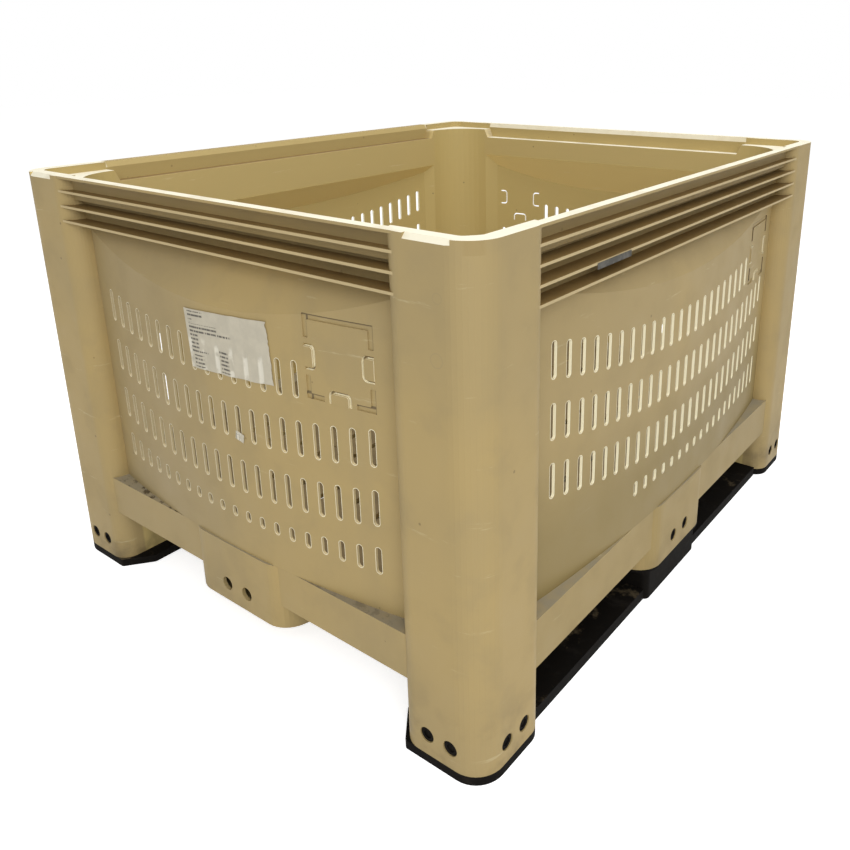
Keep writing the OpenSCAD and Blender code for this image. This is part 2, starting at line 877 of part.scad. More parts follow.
sill(LEFT, -1);  // sill_left_rear
sill(LEFT, 1);  // sill_left_front
mid_foot(FRONT);  // mid_foot_front
mid_foot(RIGHT);  // mid_foot_right
mid_foot(REAR);  // mid_foot_rear
mid_foot(LEFT);  // mid_foot_left
floor_deck();
floor_ribs();
runner(RIGHT);  // runner_right
runner(LEFT);  // runner_left
runner_studs(RIGHT);  // runner_studs_right
runner_studs(LEFT);  // runner_studs_left
paper_label();
rib_tag();
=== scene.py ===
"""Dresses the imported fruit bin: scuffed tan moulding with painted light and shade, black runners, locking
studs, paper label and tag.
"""

import logging
import math
from dataclasses import dataclass, field
from enum import Enum
from typing import Dict, Iterable, List, Optional, Sequence, Tuple

import bpy
from mathutils import Euler, Matrix, Vector, noise


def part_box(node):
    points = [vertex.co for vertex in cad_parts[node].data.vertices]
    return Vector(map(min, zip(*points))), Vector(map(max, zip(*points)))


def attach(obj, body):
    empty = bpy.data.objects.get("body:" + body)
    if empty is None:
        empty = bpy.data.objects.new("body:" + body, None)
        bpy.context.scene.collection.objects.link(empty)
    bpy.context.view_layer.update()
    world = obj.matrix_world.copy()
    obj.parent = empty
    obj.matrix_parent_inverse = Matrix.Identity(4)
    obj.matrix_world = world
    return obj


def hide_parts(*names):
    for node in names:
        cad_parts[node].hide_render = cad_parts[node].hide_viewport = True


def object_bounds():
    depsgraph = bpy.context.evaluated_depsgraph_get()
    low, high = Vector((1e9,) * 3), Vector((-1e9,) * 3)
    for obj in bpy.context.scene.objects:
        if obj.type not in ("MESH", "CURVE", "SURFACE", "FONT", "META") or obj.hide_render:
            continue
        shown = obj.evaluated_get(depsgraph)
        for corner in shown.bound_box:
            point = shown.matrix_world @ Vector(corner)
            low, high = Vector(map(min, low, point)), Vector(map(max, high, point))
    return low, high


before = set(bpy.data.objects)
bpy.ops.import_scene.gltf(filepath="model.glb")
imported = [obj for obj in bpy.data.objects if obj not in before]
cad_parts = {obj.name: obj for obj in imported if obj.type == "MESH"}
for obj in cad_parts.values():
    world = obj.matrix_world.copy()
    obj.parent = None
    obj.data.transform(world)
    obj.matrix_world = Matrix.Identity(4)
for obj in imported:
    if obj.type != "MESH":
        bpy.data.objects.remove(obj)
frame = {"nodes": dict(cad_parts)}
CAD_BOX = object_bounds()

log = logging.getLogger("fruit_bin")

Span = Tuple[float, float]
Triple = Tuple[float, float, float]
Colour = Triple
Material = bpy.types.Material
Piece = bpy.types.Object
Socket = bpy.types.NodeSocket
BODY = "root"
HALF_W, HALF_D = (round(float(side), 4) for side in CAD_BOX[1][:2])
SLOT_PITCH = 0.0324


class Part(Enum):
    """Which part of the moulding a finish is for."""

    BODY = "body"
    POST = "post"
    RAIL = "rail"
    RIM = "rim"
    PANEL = "panel"


class ShaderSheet:
    """A material's node tree, with short calls for the nodes that the finishes use."""

    def __init__(self, name: str, base: Colour) -> None:
        """Starts an empty material with one Principled shader.

        Args:
            name: the material's name.
            base: the colour under all the others.
        """
        self.colour: object = (*base, 1.0)
        self.material = bpy.data.materials.new(name)
        self.material.use_nodes = True
        self.tree = self.material.node_tree
        self.tree.nodes.clear()
        self.output = self.tree.nodes.new("ShaderNodeOutputMaterial")
        self.surface = self.tree.nodes.new("ShaderNodeBsdfPrincipled")
        self.link(self.surface.outputs["BSDF"], self.output.inputs["Surface"])
        self.coords = self.tree.nodes.new("ShaderNodeTexCoord")
        self.geometry = self.tree.nodes.new("ShaderNodeNewGeometry")
        self._place = self.split(self.coords.outputs["Object"])
        self._facing = self.split(self.geometry.outputs["True Normal"])

    def link(self, source: Socket, target: Socket) -> None:
        """Joins two sockets."""
        self.tree.links.new(source, target)

    def put(self, value: object, target: Socket) -> None:
        """Sets a socket from a number or colour, or joins it to a socket.

        Args:
            value: the number, colour or socket.
            target: the socket that takes it.
        """
        if isinstance(value, Socket):
            self.link(value, target)
        else:
            target.default_value = value

    def math(self, operation: str, a: object, b: object = 0.0, c: object = 0.0) -> Socket:
        """One Math node.

        Args:
            operation: the node's operation.
            a: first value or socket.
            b: second value or socket.
            c: third value or socket.

        Returns:
            The node's value socket.
        """
        node = self.tree.nodes.new("ShaderNodeMath")
        node.operation = operation
        for value, socket in zip((a, b, c), node.inputs):
            self.put(value, socket)
        return node.outputs[0]

    def step(self, value: object, low: float, high: float) -> Socket:
        """Smooth step of a value from 0 at low to 1 at high; low may be above high.

        Args:
            value: the value or socket.
            low: where the step is 0.
            high: where it is 1.

        Returns:
            The step's socket.
        """
        node = self.tree.nodes.new("ShaderNodeMapRange")
        node.interpolation_type = "SMOOTHSTEP"
        flip = low > high
        self.put(value, node.inputs["Value"])
        node.inputs["From Min"].default_value = min(low, high)
        node.inputs["From Max"].default_value = max(low, high)
        node.inputs["To Min"].default_value = 1.0 if flip else 0.0
        node.inputs["To Max"].default_value = 0.0 if flip else 1.0
        return node.outputs["Result"]

    def grain(self, scale: float, detail: float = 3.0, rough: float = 0.55,
              stretch: Sequence[float] = (1.0, 1.0, 1.0), offset: Sequence[float] = (0.0, 0.0, 0.0)
              ) -> Socket:
        """Noise on Object coordinates.

        Args:
            scale: features per metre.
            detail: octaves.
            rough: share of each finer octave.
            stretch: scale along each axis.
            offset: shift of the pattern, so that two grains differ.

        Returns:
            The noise's value socket, about 0.3 to 0.7.
        """
        mapping = self.tree.nodes.new("ShaderNodeMapping")
        mapping.inputs["Scale"].default_value = stretch
        mapping.inputs["Location"].default_value = offset
        self.link(self.coords.outputs["Object"], mapping.inputs["Vector"])
        node = self.tree.nodes.new("ShaderNodeTexNoise")
        node.inputs["Scale"].default_value = scale
        node.inputs["Detail"].default_value = detail
        node.inputs["Roughness"].default_value = rough
        self.link(mapping.outputs["Vector"], node.inputs["Vector"])
        return node.outputs["Fac"]

    def both(self, mask: Socket, *others: object) -> Socket:
        """Product of masks, which is 1 only where all of them are.

        Args:
            mask: the first mask.
            others: the rest, sockets or numbers.

        Returns:
            The product's socket.
        """
        for other in others:
            mask = self.math("MULTIPLY", mask, other)
        return mask

    def off(self, value: Socket, centre: float) -> Socket:
        """Distance of a value from a number."""
        return self.math("ABSOLUTE", self.math("SUBTRACT", value, centre))

    def split(self, vector: Socket) -> Sequence[Socket]:
        """Splits a vector into its x, y and z.

        Args:
            vector: the vector's socket.

        Returns:
            The three sockets.
        """
        node = self.tree.nodes.new("ShaderNodeSeparateXYZ")
        self.link(vector, node.inputs[0])
        return list(node.outputs)

    def place(self, axis: int) -> Socket:
        """The x, y or z of the point, in metres."""
        return self._place[axis]

    def facing(self, axis: int) -> Socket:
        """The x, y or z of the face's own normal."""
        return self._facing[axis]

    def paint(self, mask: Socket, colour: Colour, share: float = 1.0) -> None:
        """Lays a colour over those so far.

        Args:
            mask: where it shows.
            colour: the colour.
            share: how much of it shows where the mask is 1.
        """
        node = self.tree.nodes.new("ShaderNodeMix")
        node.data_type = "RGBA"
        self.put(mask if share == 1.0 else self.both(mask, share), node.inputs[0])
        self.put(self.colour, node.inputs[6])
        node.inputs[7].default_value = (*colour, 1.0)
        self.colour = node.outputs[2]

    def coat(self, rough: object, shine: float) -> None:
        """Gives the shader the painted colour, a roughness and a specular level.

        Args:
            rough: the roughness, a socket or number.
            shine: the specular level.
        """
        self.put(self.colour, self.surface.inputs["Base Color"])
        self.put(rough, self.surface.inputs["Roughness"])
        self.surface.inputs["Specular IOR Level"].default_value = shine

    def relief(self, layers: Iterable[Tuple[object, float, float]]) -> None:
        """Stacks bumps on the shader's normal.

        Args:
            layers: height socket, strength and distance in metres of each bump.
        """
        last = None
        for height, strength, distance in layers:
            node = self.tree.nodes.new("ShaderNodeBump")
            node.inputs["Strength"].default_value = strength
            node.inputs["Distance"].default_value = distance
            self.link(height, node.inputs["Height"])
            if last is not None:
                self.link(last.outputs["Normal"], node.inputs["Normal"])
            last = node
        if last is not None:
            self.link(last.outputs["Normal"], self.surface.inputs["Normal"])

    def band(self, axis: int, low: float, high: float, soft: float) -> Socket:
        """Mask that is 1 between two places along an axis, with soft ends.

        Args:
            axis: 0, 1 or 2.
            low: lower place.
            high: upper place.
            soft: half the width of each soft end.

        Returns:
            The mask's socket.
        """
        return self.window(self.place(axis), low, high, soft, soft)

    def window(self, value: Socket, low: float, high: float, soft_low: float, soft_high: float) -> Socket:
        """Mask that is 1 while a value lies between two numbers.

        Args:
            value: the value's socket.
            low: lower number.
            high: upper number.
            soft_low: half the width of the lower soft end.
            soft_high: half the width of the upper soft end.

        Returns:
            The mask's socket.
        """
        rise = self.step(value, low - soft_low, low + soft_low)
        return self.both(rise, self.step(value, high + soft_high, high - soft_high))

    @staticmethod
    def seen(tree: bpy.types.NodeTree) -> Socket:
        """Mask of the rays that show a thing to the eye, straight or by a mirror or glass.

        Args:
            tree: the nodes of a material or world.

        Returns:
            The mask's socket.
        """
        path = tree.nodes.new("ShaderNodeLightPath")
        mask = path.outputs["Is Camera Ray"]
        for ray in ("Is Glossy Ray", "Is Transmission Ray"):
            node = tree.nodes.new("ShaderNodeMath")
            node.operation = "MAXIMUM"
            tree.links.new(mask, node.inputs[0])
            tree.links.new(path.outputs[ray], node.inputs[1])
            mask = node.outputs[0]
        return mask


@dataclass(frozen=True)
class SlotMap:
    """Where the vent slots and the card holder of one wall lie, in metres, seen from outside.

    The wall runs along an axis, and the sign turns that axis to the right. The slots stand in columns
    out to the last one, in rows along an arc, with a row of short slots below from low_from on. The
    top row leaves room for the card holder.
    """

    axis: int
    sign: float
    last: float
    card_left: float
    low_from: float = -1.0
    pitch: float = SLOT_PITCH
    width: float = 0.010
    length: float = 0.055
    top: float = 0.511
    rows: int = 3
    row_pitch: float = 0.091
    arc_r: float = 1.890
    low_z: float = 0.250
    low_l: float = 0.017
    spare: float = 0.002
    card_w: float = 0.117
    card_z: Span = (0.497, 0.620)
    card_land: float = 0.015
    tab_half: float = 0.0205
    tab_mid: float = 0.0100
    tab_rise: float = 0.0105
    groove_w: float = 0.008
    groove_gap: float = 0.055
    groove_slack: float = 0.0003
    shade_top: Span = (0.0032, 0.0010)
    shade_right: Span = (0.0028, 0.0008)

    def across(self, sheet: ShaderSheet) -> Socket:
        """Place along the wall, growing to the right as seen from outside."""
        return sheet.math("MULTIPLY", sheet.place(self.axis), self.sign)

    def distance(self, sheet: ShaderSheet) -> Socket:
        """Distance from the nearest slot's edge, below zero inside a slot.

        Args:
            sheet: the material that asks.

        Returns:
            The distance's socket.
        """
        m = sheet.math
        u, z = self.across(sheet), sheet.place(2)
        dx = m("MULTIPLY", m("SUBTRACT", m("FRACT", m("DIVIDE", u, self.pitch)), 0.5), self.pitch)
        column = m("SUBTRACT", u, dx)
        root = m("SQRT", m("SUBTRACT", self.arc_r ** 2, m("MULTIPLY", column, column)))
        rise = m("SUBTRACT", self.arc_r, root)
        dz = m("SUBTRACT", m("SUBTRACT", z, self.top), rise)
        first = m("GREATER_THAN", column, self.card_left - self.card_land)
        row = m("MAXIMUM", m("ROUND", m("DIVIDE", dz, -self.row_pitch)), first)
        row = m("MINIMUM", row, self.rows - 1.0)
        far = m("ABSOLUTE", m("MULTIPLY_ADD", row, self.row_pitch, dz))
        full = self._edge(sheet, dx, m("SUBTRACT", far, (self.length - self.width) / 2))
        half = m("MULTIPLY", m("ADD", rise, self.low_l), 0.5)
        low = m("ABSOLUTE", m("SUBTRACT", m("SUBTRACT", z, self.low_z), half))
        short = self._edge(sheet, dx, m("SUBTRACT", low, m("SUBTRACT", half, self.width / 2)))
        short = m("ADD", short, m("LESS_THAN", column, self.low_from))
        beyond = m("GREATER_THAN", m("ABSOLUTE", column), self.last + self.spare)
        return m("ADD", m("MINIMUM", full, short), beyond)

    def _edge(self, sheet: ShaderSheet, dx: Socket, past: Socket) -> Socket:
        """Distance from a slot with round ends.

        Args:
            sheet: the material that asks.
            dx: offset across the slot.
            past: offset past its straight part.

        Returns:
            The distance's socket.
        """
        past = sheet.math("MAXIMUM", past, 0.0)
        square = sheet.math("MULTIPLY_ADD", dx, dx, sheet.math("MULTIPLY", past, past))
        return sheet.math("SUBTRACT", sheet.math("SQRT", square), self.width / 2)

    def tabs(self, sheet: ShaderSheet) -> Socket:
        """Mask of the places of the card holder's three tabs.

        Args:
            sheet: the material that asks.

        Returns:
            The mask's socket.
        """
        m = sheet.math
        low, high = self.card_z
        dx = sheet.off(self.across(sheet), self.card_left + self.card_w / 2)
        dz = sheet.off(sheet.place(2), (low + high) / 2)
        sides = sheet.both(m("LESS_THAN", dx, self.card_w / 2), m("LESS_THAN", dz, self.tab_half))
        foot = m("LESS_THAN", sheet.off(sheet.place(2), low + self.tab_mid), self.tab_rise)
        return m("MAXIMUM", sides, sheet.both(m("LESS_THAN", dx, self.tab_half), foot))

    def groove(self, sheet: ShaderSheet) -> Socket:
        """Mask of the shaded upper and right sides of the card holder's groove.

        Args:
            sheet: the material that asks.

        Returns:
            The mask's socket.
        """
        m = sheet.math
        low, high = self.card_z
        height = high - low
        u = m("SUBTRACT", self.across(sheet), self.card_left)
        v = m("SUBTRACT", sheet.place(2), low)
        near_u = m("MINIMUM", u, m("SUBTRACT", self.card_w, u))
        near_v = m("MINIMUM", v, m("SUBTRACT", height, v))
        edge = m("MINIMUM", near_u, near_v)
        inner = self.groove_w + self.groove_slack
        ring = sheet.both(m("GREATER_THAN", edge, -self.groove_slack), m("LESS_THAN", edge, inner))
        sides = m("GREATER_THAN", sheet.off(v, height / 2), self.groove_gap / 2)
        below = m("GREATER_THAN", sheet.off(u, self.card_w / 2), self.groove_gap / 2)
        below = m("MAXIMUM", below, m("GREATER_THAN", v, inner))
        from_top = m("MINIMUM", sheet.off(v, height), sheet.off(v, self.groove_w))
        from_right = m("MINIMUM", sheet.off(u, self.card_w), sheet.off(u, self.groove_w))
        right = sheet.step(from_right, *self.shade_right)
        shade = m("MAXIMUM", sheet.step(from_top, *self.shade_top), right)
        return sheet.both(ring, sides, below, shade)


@dataclass(frozen=True)
class MouldedTan:
    """Scuffed tan moulding with dust on its ledges, painted highlights on its cream rims and painted light
    round the vent slots.

    The colours come first. Each span then says where a mask starts and ends, as a place, a depth behind
    the bin's outer faces or a width, in metres.
    """

    name: str
    part: Part = Part.BODY
    slots: Optional[SlotMap] = None
    base: Colour = (0.386, 0.291, 0.134)
    warm: Colour = (0.431, 0.317, 0.134)
    dull: Colour = (0.33, 0.257, 0.133)
    # Painted shade in the webs between the ribs.
    deep: Colour = (0.33, 0.24, 0.10)
    # Darker colour on what faces up between the ribs.
    rib_top_dark: Colour = (0.20, 0.125, 0.042)
    # Pale rib edges: partly wear, partly a painted highlight.
    edge: Colour = (0.62, 0.50, 0.28)
    dust: Colour = (0.29, 0.26, 0.19)
    # inner, under and web are painted light for the faces that look into the bin.
    inner: Colour = (0.60, 0.465, 0.185)
    under: Colour = (0.95, 0.755, 0.335)
    web: Colour = (0.60, 0.465, 0.195)
    # Darker towards the bottom on the right wall and the right sills.
    low: Colour = (0.265, 0.20, 0.08)
    shade: Colour = (0.26, 0.205, 0.115)
    # Painted shade, on the floor deck and in the card holder's groove.
    dark_shade: Colour = (0.115, 0.085, 0.048)
    stain: Colour = (0.085, 0.062, 0.035)
    # Pale scuffs, and painted light round the slots and tab cuts.
    pale: Colour = (0.98, 0.92, 0.68)
    # Painted highlight on the tops of the rim, seat and ledge.
    cream: Colour = (0.86, 0.81, 0.64)
    look_in: Span = (-0.08, -0.25)
    inner_depth: Span = (0.044, 0.049)
    deck_depth: Span = (0.049, 0.053)
    ledge_z: Span = (0.180, 0.195)
    front_ledge_y: Span = (-0.612, -0.578)
    left_ledge_x: Span = (-0.352, -0.130)
    right_ledge_x: Span = (0.130, 0.365)
    ledge_soft: float = 0.004
    front_soft: float = 0.008
    end_soft: float = 0.02
    side_z: Span = (0.24, 0.20)
    ground_z: Span = (0.13, 0.01)
    mark_y: Span = (-0.6085, -0.6092)
    mark_w: Span = (0.0011, 0.0003)
    marks: Tuple[Triple, ...] = ((0.4505, 0.6860, 0.0065), (0.4475, 0.6105, 0.0090))
    seat_z: Span = (0.714, 0.719)
    rim_z: Span = (0.735, 0.742)
    rib_z: Span = (0.738, 0.735)
    bright_x: Span = (-0.457, -0.452)
    bright_y: Span = (0.458, 0.463)
    web_start: Span = (0.004, 0.008)
    web_end: Span = (0.040, 0.036)
    top_end: Span = (0.044, 0.040)
    edge_depth: Span = (0.0035, 0.0022)
    slot_edge: Span = (0.0011, 0.0003)
    right_x: Span = (0.44, 0.46)
    right_z: Span = (0.46, 0.26)
    front_y: Span = (-0.50, -0.52)
    left_x: Span = (0.05, -0.28)
    speck_deep: float = 0.0004
    mottle_deep: float = 0.0015

    def material(self) -> Material:
        """Builds the finish.

        Returns:
            The material.
        """
        sheet = ShaderSheet(self.name, self.base)
        broad = sheet.grain(2.4, 3.0)
        mottle = sheet.grain(17.0, 4.0, offset=(3.1, 1.7, 0.4))
        streak = sheet.grain(9.0, 4.0, stretch=(1.0, 1.0, 0.08), offset=(0.3, 5.2, 2.2))
        speck = sheet.grain(420.0, 2.0)
        sheet.paint(sheet.step(broad, 0.38, 0.64), self.warm)
        sheet.paint(sheet.step(mottle, 0.46, 0.72), self.dull, 0.30)
        sheet.paint(sheet.step(streak, 0.52, 0.74), self.dull, 0.25)
        self._inside(sheet)
        self._dust_and_shade(sheet, mottle)
        self._specks(sheet)
        if self.part is Part.POST:
            self._marks(sheet)
        if self.part in (Part.POST, Part.RAIL, Part.RIM):
            self._wear_light_and_shade(sheet, mottle)
        if self.slots is not None:
            self._panel(sheet)
        sheet.coat(sheet.math("MULTIPLY_ADD", mottle, 0.30, 0.40), 0.22)
        sheet.relief(((speck, 0.10, self.speck_deep), (mottle, 0.10, self.mottle_deep)))
        return sheet.material

    def _depth(self, sheet: ShaderSheet) -> Socket:
        """Depth of the point behind the bin's nearest outer face.

        Args:
            sheet: the material.

        Returns:
            The depth's socket.
        """
        m = sheet.math
        from_side = m("SUBTRACT", HALF_W, m("ABSOLUTE", sheet.place(0)))
        from_end = m("SUBTRACT", HALF_D, m("ABSOLUTE", sheet.place(1)))
        return m("MINIMUM", from_side, from_end)

    def _outlook(self, sheet: ShaderSheet) -> Socket:
        """How far the face looks out from the bin's middle, below zero where it looks in.

        Args:
            sheet: the material.

        Returns:
            The outlook's socket, along a wall panel's own direction only.
        """
        if self.slots is not None:
            own = 1 - self.slots.axis
            return sheet.math("MULTIPLY", sheet.facing(own), sheet.place(own))
        along = sheet.math("MULTIPLY", sheet.facing(1), sheet.place(1))
        return sheet.math("MULTIPLY_ADD", sheet.facing(0), sheet.place(0), along)

    def _inside(self, sheet: ShaderSheet) -> None:
        """Painted light: a paler, warmer colour on the faces that look into the bin, palest where they lean
        over it and lie in shade.

        Args:
            sheet: the material.
        """
        inward = sheet.step(self._outlook(sheet), *self.look_in)
        if self.part is Part.POST:
            inward = sheet.both(inward, sheet.step(self._depth(sheet), *self.inner_depth))
        inside_light = self.web if self.part is Part.RAIL else self.inner
        # Painted light on the faces that look into the bin, which the lamps reach less than the outer
        # faces.
        sheet.paint(inward, inside_light, 0.85)
        # Painted light, paler still where an inward face leans down into its own shade.
        lean = sheet.both(inward, sheet.step(sheet.facing(2), -0.15, -0.32))
        sheet.paint(lean, self.under, 0.85)

    def _dust_and_shade(self, sheet: ShaderSheet, mottle: Socket) -> None:
        """Painted shade on the floor deck, dust and stains on the ledges, darker low on the right sills,
        and dirt near the ground.

        Args:
            sheet: the material.
            mottle: the finish's middle grain.
        """
        m, both = sheet.math, sheet.both
        flat = sheet.step(sheet.facing(2), 0.70, 0.95)
        level = both(flat, sheet.band(2, *self.ledge_z, self.ledge_soft))
        within = sheet.step(self._depth(sheet), *self.deck_depth)
        deck = both(level, within, m("MULTIPLY_ADD", mottle, 0.5, 0.5))
        # Painted shade: the floor deck inside the bin is darkened.
        sheet.paint(deck, self.dark_shade)
        if self.part is Part.BODY:
            # Darker towards the bottom on the faces that look right.
            right = sheet.step(sheet.facing(0), 0.50, 0.80)
            side = both(right, sheet.step(sheet.place(2), *self.side_z))
            sheet.paint(side, self.low, 0.40)
        ledge = both(level, m("SUBTRACT", 1.0, within))
        share = m("MULTIPLY_ADD", sheet.step(mottle, 0.36, 0.60), 0.35, 0.55)
        sheet.paint(both(ledge, share), self.dust)
        blot = sheet.step(sheet.grain(62.0, 4.0, 0.65), 0.50, 0.60)
        front = both(ledge, sheet.band(1, *self.front_ledge_y, self.front_soft))
        left = both(front, sheet.band(0, *self.left_ledge_x, self.end_soft))
        sheet.paint(both(left, blot), self.stain)
        right = both(front, sheet.band(0, *self.right_ledge_x, self.end_soft))
        sheet.paint(both(right, m("MULTIPLY_ADD", blot, 0.28, 0.18)), self.stain)
        ground = both(sheet.step(sheet.place(2), *self.ground_z), sheet.step(mottle, 0.40, 0.75))
        sheet.paint(ground, self.stain, 0.55)

    def _specks(self, sheet: ShaderSheet) -> None:
        """Sparse dark specks and faint pale scuffs.

        Args:
            sheet: the material.
        """
        cells = sheet.tree.nodes.new("ShaderNodeTexVoronoi")
        cells.inputs["Scale"].default_value = 17.0
        sheet.link(sheet.coords.outputs["Object"], cells.inputs["Vector"])
        dot = sheet.step(cells.outputs["Distance"], 0.045, 0.030)
        sheet.paint(dot, self.stain, 0.45)
        rub = sheet.grain(30.0, 5.0, 0.7, stretch=(0.25, 0.25, 2.6), offset=(7.0, 2.0, 1.0))
        sheet.paint(sheet.step(rub, 0.64, 0.74), self.pale, 0.16)

    def _marks(self, sheet: ShaderSheet) -> None:
        """Faint round marks of the mould on the front face of the near post.

        Args:
            sheet: the material.
        """
        m = sheet.math
        front = sheet.step(sheet.place(1), *self.mark_y)
        for x, z, r in self.marks:
            dx = m("SUBTRACT", sheet.place(0), x)
            dz = m("SUBTRACT", sheet.place(2), z)
            far = m("SQRT", m("MULTIPLY_ADD", dx, dx, m("MULTIPLY", dz, dz)))
            ring = sheet.both(sheet.step(sheet.off(far, r), *self.mark_w), front)
            sheet.paint(ring, self.dull, 0.5)

    def _wear_light_and_shade(self, sheet: ShaderSheet, mottle: Socket) -> None:
        """Ribs with painted shade, darker tops and pale edges, and a painted highlight on the cream rim,
        seat and ledge tops, left off the left side away from its corners.

        Args:
            sheet: the material.
            mottle: the finish's middle grain.
        """
        m = sheet.math
        up = sheet.step(sheet.facing(2), 0.35, 0.60)
        height = self.rim_z if self.part is Part.RIM else self.seat_z
        top_highlight = sheet.both(up, sheet.step(sheet.place(2), *height))
        if self.part in (Part.RAIL, Part.RIM):
            self._ribs(sheet, mottle, up)
            beyond = sheet.step(m("ABSOLUTE", sheet.place(1)), *self.bright_y)
            bright = m("MAXIMUM", sheet.step(sheet.place(0), *self.bright_x), beyond)
            top_highlight = sheet.both(top_highlight, bright)
        share = m("MULTIPLY_ADD", sheet.step(mottle, 0.30, 0.55), 0.25, 0.72)
        # Painted highlight: cream on what faces up at the rim, seat and ledge, left off the left side away
        # from its corners.
        sheet.paint(sheet.both(top_highlight, share), self.cream)

    def _ribs(self, sheet: ShaderSheet, mottle: Socket, up: Socket) -> None:
        """Browner webs as painted shade, a darker colour on what faces up between the ribs, and pale outer
        edges that are partly wear and partly a painted highlight.

        Args:
            sheet: the material.
            mottle: the finish's middle grain.
            up: mask of what faces up.
        """
        both = sheet.both
        depth = self._depth(sheet)
        below = sheet.step(sheet.place(2), *self.rib_z)
        webs = both(sheet.step(depth, *self.web_start), sheet.step(depth, *self.web_end))
        # Painted shade in the webs between the ribs.
        sheet.paint(webs, self.deep, 0.45)
        tops = both(up, below, sheet.step(depth, *self.top_end))
        # Darker colour on what faces up between the ribs.
        dark_tops = both(tops, sheet.math("MULTIPLY_ADD", mottle, 0.4, 0.72))
        sheet.paint(dark_tops, self.rib_top_dark)
        # Pale outer rib edges: partly wear, partly a painted highlight.
        edges = both(sheet.step(depth, *self.edge_depth), below, sheet.step(up, 0.6, 0.4))
        sheet.paint(edges, self.edge, 0.55)

    def _panel(self, sheet: ShaderSheet) -> None:
        """Darker low on the right wall, painted shade on the left of the front wall and in the card groove,
        and painted light round the slots and tabs.

        Args:
            sheet: the material.
        """
        m, both = sheet.math, sheet.both
        # Darker towards the bottom of the right wall.
        low = both(sheet.step(sheet.place(0), *self.right_x), sheet.step(sheet.place(2), *self.right_z))
        sheet.paint(low, self.low, 0.85)
        # Painted shade on the left part of the front wall.
        left = both(sheet.step(sheet.place(1), *self.front_y), sheet.step(sheet.place(0), *self.left_x))
        sheet.paint(left, self.shade, 0.35)
        # Painted shade on the upper and right sides of the card holder's groove, on outer faces only.
        outer = sheet.step(self._outlook(sheet), *reversed(self.look_in))
        sheet.paint(both(self.slots.groove(sheet), outer), self.dark_shade, 0.85)
        # Painted light: pale edges round the slots, where light shows through; on slot walls it stays
        # mostly where they face the bin's ends.
        pale_mark = sheet.step(self.slots.distance(sheet), *self.slot_edge)
        wall = sheet.step(m("ABSOLUTE", sheet.facing(1 - self.slots.axis)), 0.62, 0.40)
        dim = m("MULTIPLY_ADD", m("ABSOLUTE", sheet.facing(1)), -0.78, 0.78)
        pale_mark = both(pale_mark, m("SUBTRACT", 1.0, both(wall, dim)))
        # Painted light on the walls of the tab cuts.
        cut = both(wall, self.slots.tabs(sheet), 0.7)
        sheet.paint(m("MAXIMUM", pale_mark, cut), self.pale)


@dataclass(frozen=True)
class RunnerBlack:
    """Black recycled plastic with brown dust on what faces up and scuffs on its sides."""

    name: str
    base: Colour = (0.007, 0.006, 0.005)
    scuffed: Colour = (0.020, 0.017, 0.014)
    dirt: Colour = (0.11, 0.085, 0.05)
    fine_deep: float = 0.0006
    mottle_deep: float = 0.0012
    dusty: bool = True

    def material(self) -> Material:
        """Builds the finish.

        Returns:
            The material.
        """
        sheet = ShaderSheet(self.name, self.base)
        mottle = sheet.grain(26.0, 5.0, 0.65)
        fine = sheet.grain(190.0, 3.0)
        sheet.paint(sheet.step(mottle, 0.50, 0.74), self.scuffed, 0.8)
        if self.dusty:
            up = sheet.step(sheet.facing(2), 0.75, 0.95)
            patch = sheet.step(sheet.grain(13.0, 5.0, 0.7, offset=(1.0, 4.0, 2.0)), 0.55, 0.66)
            sheet.paint(sheet.both(up, patch), self.dirt, 0.75)
        sheet.coat(sheet.math("MULTIPLY_ADD", mottle, 0.35, 0.55), 0.04)
        sheet.relief(((fine, 0.25, self.fine_deep), (mottle, 0.20, self.mottle_deep)))
        return sheet.material


